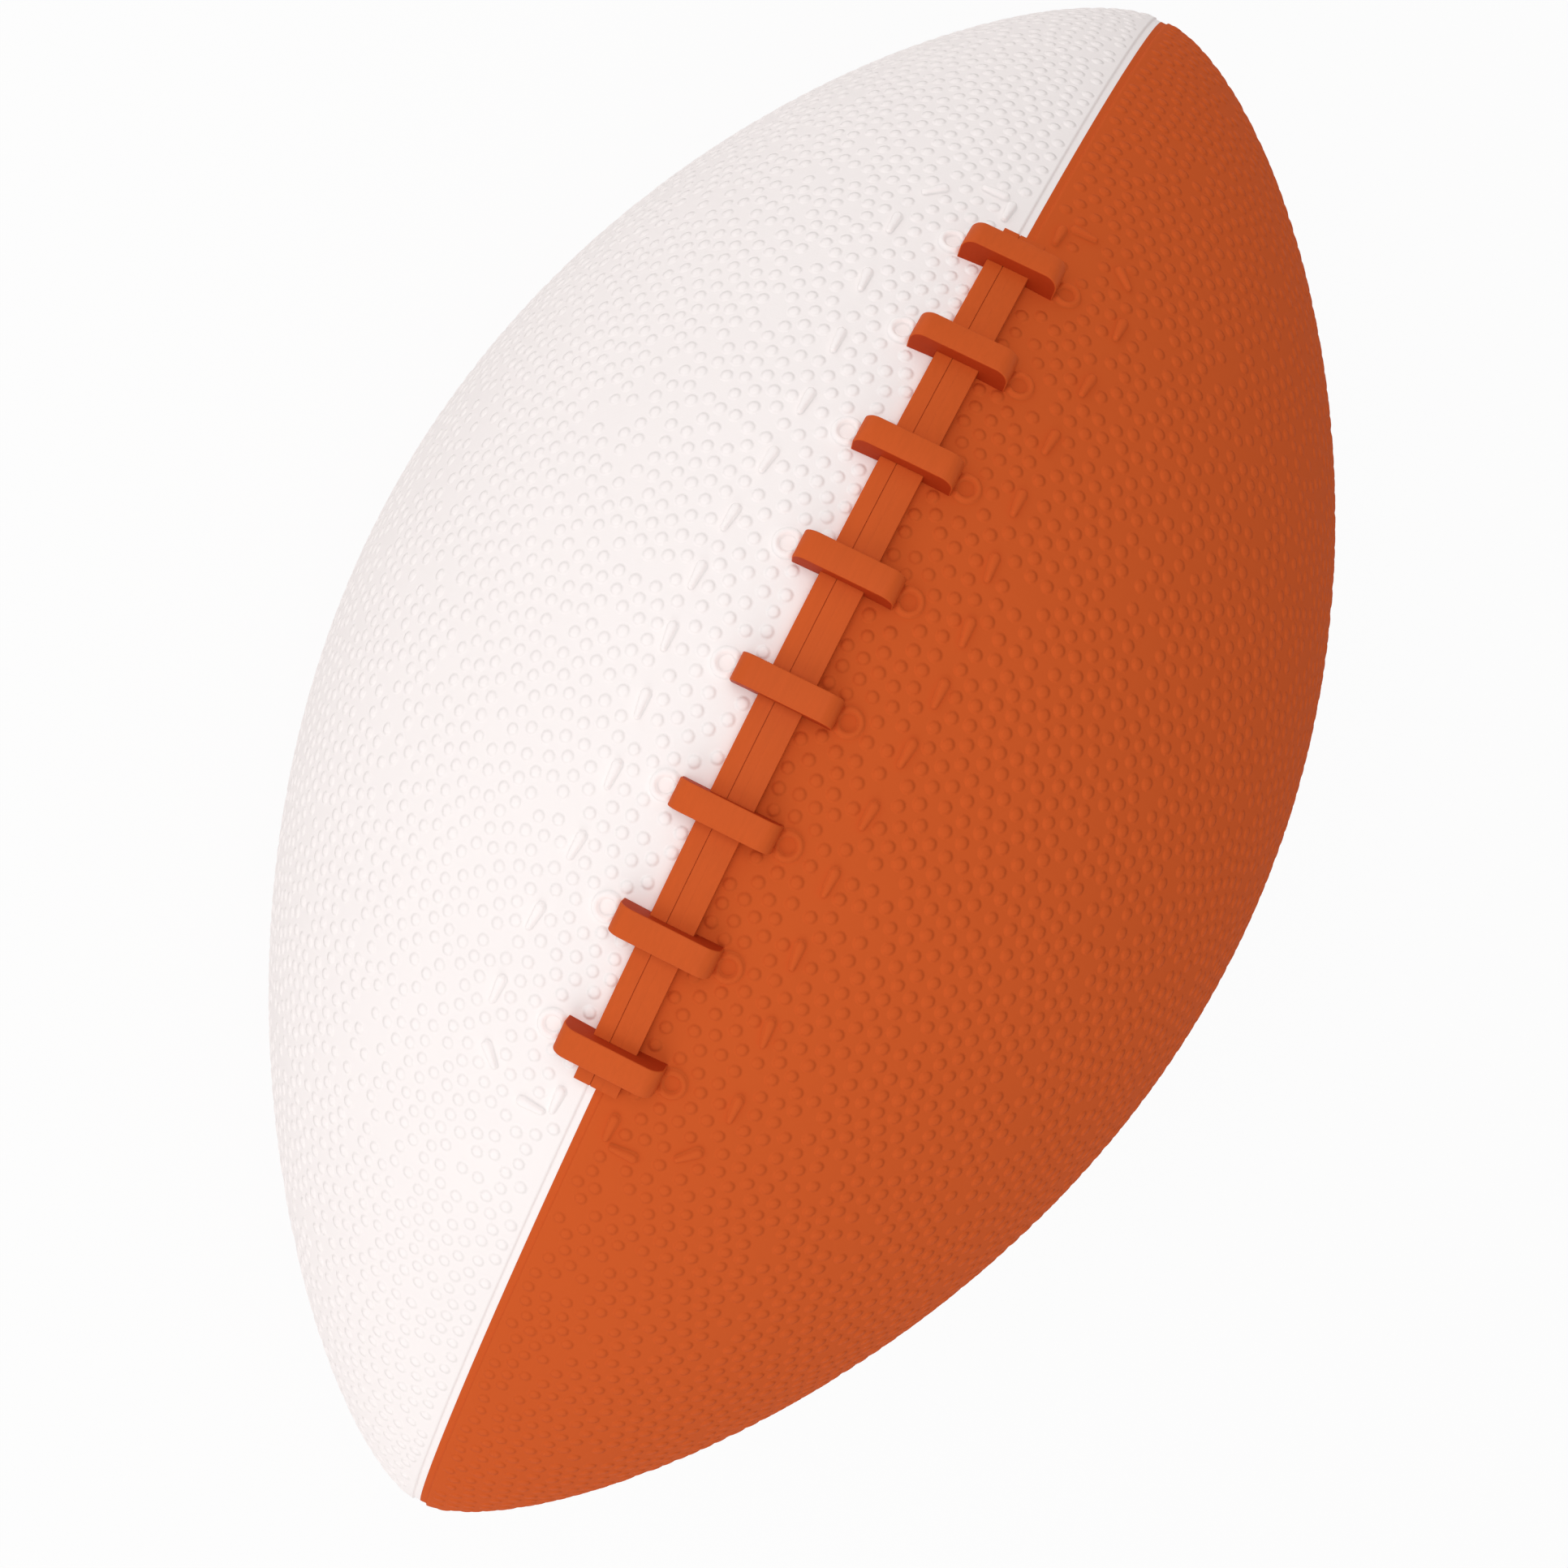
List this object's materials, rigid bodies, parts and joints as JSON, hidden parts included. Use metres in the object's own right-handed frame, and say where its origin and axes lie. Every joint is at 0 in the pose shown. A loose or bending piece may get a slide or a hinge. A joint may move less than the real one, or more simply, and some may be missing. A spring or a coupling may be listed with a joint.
{
  "type": "american football",
  "caption": "Moulded rubber american football in white and burnt orange panels, with raised cross laces along one seam, a wound carcass, a bladder and a pump valve.",
  "frame": {"origin": "centre of the ball, where its long axis crosses the middle plane between the two tips", "axes": "+X along the ball's long axis, +Z out through the laced seam, +Y out through the seam beside the white front panel"},
  "size_m": [0.2686, 0.152, 0.1553],
  "materials": {
    "white_rubber": "matte pebbled rubber",
    "orange_rubber": "matte pebbled rubber",
    "lace_rubber": "smooth matte rubber",
    "nylon_yarn": "wound yarn",
    "butyl_rubber": "smooth dusty rubber",
    "valve_rubber": "smooth rubber"
  },
  "bodies": {
    "root": {"front_white_panel": "white_rubber", "front_orange_panel": "orange_rubber", "rear_white_panel": "white_rubber", "rear_orange_panel": "orange_rubber", "lace_bar_1": "lace_rubber", "lace_bar_2": "lace_rubber", "lace_bar_3": "lace_rubber", "lace_bar_4": "lace_rubber", "lace_bar_5": "lace_rubber", "lace_bar_6": "lace_rubber", "lace_bar_7": "lace_rubber", "lace_bar_8": "lace_rubber", "lace_run_white_side": "lace_rubber", "lace_run_orange_side": "lace_rubber", "lace_core": "lace_rubber", "nylon_winding": "nylon_yarn", "bladder": "butyl_rubber", "valve_housing": "valve_rubber", "valve_core": "valve_rubber"}
  },
  "joints": []
}
